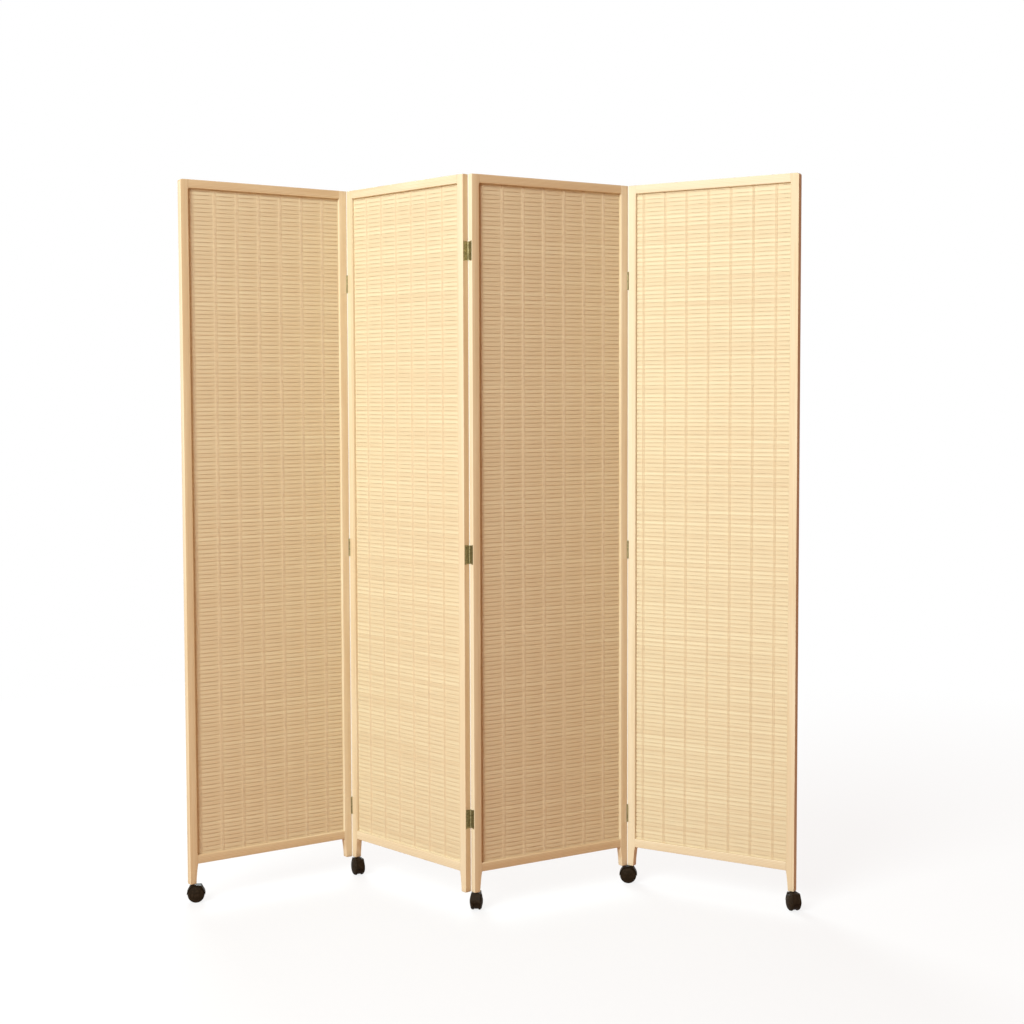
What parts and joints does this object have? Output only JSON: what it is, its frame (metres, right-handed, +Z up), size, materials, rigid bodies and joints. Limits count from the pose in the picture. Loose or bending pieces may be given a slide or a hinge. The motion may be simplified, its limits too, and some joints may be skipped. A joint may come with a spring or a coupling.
{
  "type": "folding partition screen",
  "caption": "Folding room divider: slim wooden frames with bamboo slat mats, joined by brass butt hinges, standing zigzag on swivelling twin-wheel casters.",
  "frame": {"origin": "middle of the plan's bounding box, on the floor", "axes": "+X along the screen from left to right as seen from the front, -Y towards the viewer in front, +Z up"},
  "size_m": [1.4826, 0.3804, 1.745],
  "materials": {
    "frame_wood": "clear satin lacquer",
    "bamboo_mat": "split bamboo, plain",
    "hinge_brass": "dull plated brass",
    "caster_plastic": "moulded, dark brown",
    "wheel_plastic": "moulded, dark brown",
    "caster_steel": "zinc plated"
  },
  "bodies": {
    "panel_1": {"panel_1_stile_left": "frame_wood", "panel_1_stile_right": "frame_wood", "panel_1_rail_top": "frame_wood", "panel_1_rail_bottom": "frame_wood", "panel_1_mat": "bamboo_mat", "hinge_1_2_leaves_left": "hinge_brass", "hinge_screws_panel_1": "hinge_brass", "caster_1_stem": "caster_steel"},
    "panel_2": {"panel_2_stile_left": "frame_wood", "panel_2_stile_right": "frame_wood", "panel_2_rail_top": "frame_wood", "panel_2_rail_bottom": "frame_wood", "panel_2_mat": "bamboo_mat", "hinge_1_2_leaves_right": "hinge_brass", "hinge_1_2_pins": "hinge_brass", "hinge_2_3_leaves_left": "hinge_brass", "hinge_2_3_pins": "hinge_brass", "hinge_screws_panel_2": "hinge_brass", "caster_2_stem": "caster_steel"},
    "panel_3": {"panel_3_stile_left": "frame_wood", "panel_3_stile_right": "frame_wood", "panel_3_rail_top": "frame_wood", "panel_3_rail_bottom": "frame_wood", "panel_3_mat": "bamboo_mat", "hinge_2_3_leaves_right": "hinge_brass", "hinge_3_4_leaves_left": "hinge_brass", "hinge_3_4_pins": "hinge_brass", "hinge_screws_panel_3": "hinge_brass", "caster_3_stem": "caster_steel"},
    "panel_4": {"panel_4_stile_left": "frame_wood", "panel_4_stile_right": "frame_wood", "panel_4_rail_top": "frame_wood", "panel_4_rail_bottom": "frame_wood", "panel_4_mat": "bamboo_mat", "hinge_3_4_leaves_right": "hinge_brass", "hinge_screws_panel_4": "hinge_brass", "caster_4_stem": "caster_steel", "caster_5_stem": "caster_steel"},
    "caster_1": {"caster_1_hood": "caster_plastic", "caster_1_axle": "caster_steel"},
    "wheel_1_left": {"caster_1_wheel_left": "wheel_plastic"},
    "wheel_1_right": {"caster_1_wheel_right": "wheel_plastic"},
    "caster_2": {"caster_2_hood": "caster_plastic", "caster_2_axle": "caster_steel"},
    "wheel_2_left": {"caster_2_wheel_left": "wheel_plastic"},
    "wheel_2_right": {"caster_2_wheel_right": "wheel_plastic"},
    "caster_3": {"caster_3_hood": "caster_plastic", "caster_3_axle": "caster_steel"},
    "wheel_3_left": {"caster_3_wheel_left": "wheel_plastic"},
    "wheel_3_right": {"caster_3_wheel_right": "wheel_plastic"},
    "caster_4": {"caster_4_hood": "caster_plastic", "caster_4_axle": "caster_steel"},
    "wheel_4_left": {"caster_4_wheel_left": "wheel_plastic"},
    "wheel_4_right": {"caster_4_wheel_right": "wheel_plastic"},
    "caster_5": {"caster_5_hood": "caster_plastic", "caster_5_axle": "caster_steel"},
    "wheel_5_left": {"caster_5_wheel_left": "wheel_plastic"},
    "wheel_5_right": {"caster_5_wheel_right": "wheel_plastic"}
  },
  "joints": [
    {"name": "fold_1_2", "type": "hinge", "parent": "panel_2", "child": "panel_1", "pos_m": [-0.35925, 0.17419, 0.845], "axis": [0, 0, 1], "range_deg": [-83.9, 91.1]},
    {"name": "fold_2_3", "type": "hinge", "parent": "panel_2", "child": "panel_3", "pos_m": [-0.04568, -0.15399, 0.845], "axis": [0, 0, 1], "range_deg": [-81.3, 93.7]},
    {"name": "fold_3_4", "type": "hinge", "parent": "panel_3", "child": "panel_4", "pos_m": [0.34419, 0.07845, 0.845], "axis": [0, 0, -1], "range_deg": [-65.9, 109.1]},
    {"name": "swivel_1", "type": "hinge", "parent": "panel_1", "child": "caster_1", "pos_m": [-0.72659, -0.07764, 0.045], "axis": [0, 0, 1], "continuous": true},
    {"name": "roll_1_left", "type": "hinge", "parent": "caster_1", "child": "wheel_1_left", "pos_m": [-0.71768, -0.07639, 0.0205], "axis": [-0.1392, 0.9903, 0], "continuous": true},
    {"name": "roll_1_right", "type": "hinge", "parent": "caster_1", "child": "wheel_1_right", "pos_m": [-0.71768, -0.07639, 0.0205], "axis": [-0.1392, 0.9903, 0], "continuous": true},
    {"name": "swivel_2", "type": "hinge", "parent": "panel_2", "child": "caster_2", "pos_m": [-0.34753, 0.17349, 0.045], "axis": [0, 0, 1], "continuous": true},
    {"name": "roll_2_left", "type": "hinge", "parent": "caster_2", "child": "wheel_2_left", "pos_m": [-0.34373, 0.16533, 0.0205], "axis": [0.9063, 0.4226, 0], "continuous": true},
    {"name": "roll_2_right", "type": "hinge", "parent": "caster_2", "child": "wheel_2_right", "pos_m": [-0.34373, 0.16533, 0.0205], "axis": [0.9063, 0.4226, 0], "continuous": true},
    {"name": "swivel_3", "type": "hinge", "parent": "panel_3", "child": "caster_3", "pos_m": [-0.0342, -0.15645, 0.045], "axis": [0, 0, 1], "continuous": true},
    {"name": "roll_3_left", "type": "hinge", "parent": "caster_3", "child": "wheel_3_left", "pos_m": [-0.03342, -0.14749, 0.0205], "axis": [-0.9962, 0.0872, 0], "continuous": true},
    {"name": "roll_3_right", "type": "hinge", "parent": "caster_3", "child": "wheel_3_right", "pos_m": [-0.03342, -0.14749, 0.0205], "axis": [-0.9962, 0.0872, 0], "continuous": true},
    {"name": "swivel_4", "type": "hinge", "parent": "panel_4", "child": "caster_4", "pos_m": [0.35567, 0.08089, 0.045], "axis": [0, 0, 1], "continuous": true},
    {"name": "roll_4_left", "type": "hinge", "parent": "caster_4", "child": "wheel_4_left", "pos_m": [0.34671, 0.08168, 0.0205], "axis": [-0.0872, -0.9962, 0], "continuous": true},
    {"name": "roll_4_right", "type": "hinge", "parent": "caster_4", "child": "wheel_4_right", "pos_m": [0.34671, 0.08168, 0.0205], "axis": [-0.0872, -0.9962, 0], "continuous": true},
    {"name": "swivel_5", "type": "hinge", "parent": "panel_4", "child": "caster_5", "pos_m": [0.72217, -0.15711, 0.045], "axis": [0, 0, 1], "continuous": true},
    {"name": "roll_5_left", "type": "hinge", "parent": "caster_5", "child": "wheel_5_left", "pos_m": [0.7245, -0.16581, 0.0205], "axis": [0.9659, 0.2588, 0], "continuous": true},
    {"name": "roll_5_right", "type": "hinge", "parent": "caster_5", "child": "wheel_5_right", "pos_m": [0.7245, -0.16581, 0.0205], "axis": [0.9659, 0.2588, 0], "continuous": true}
  ]
}
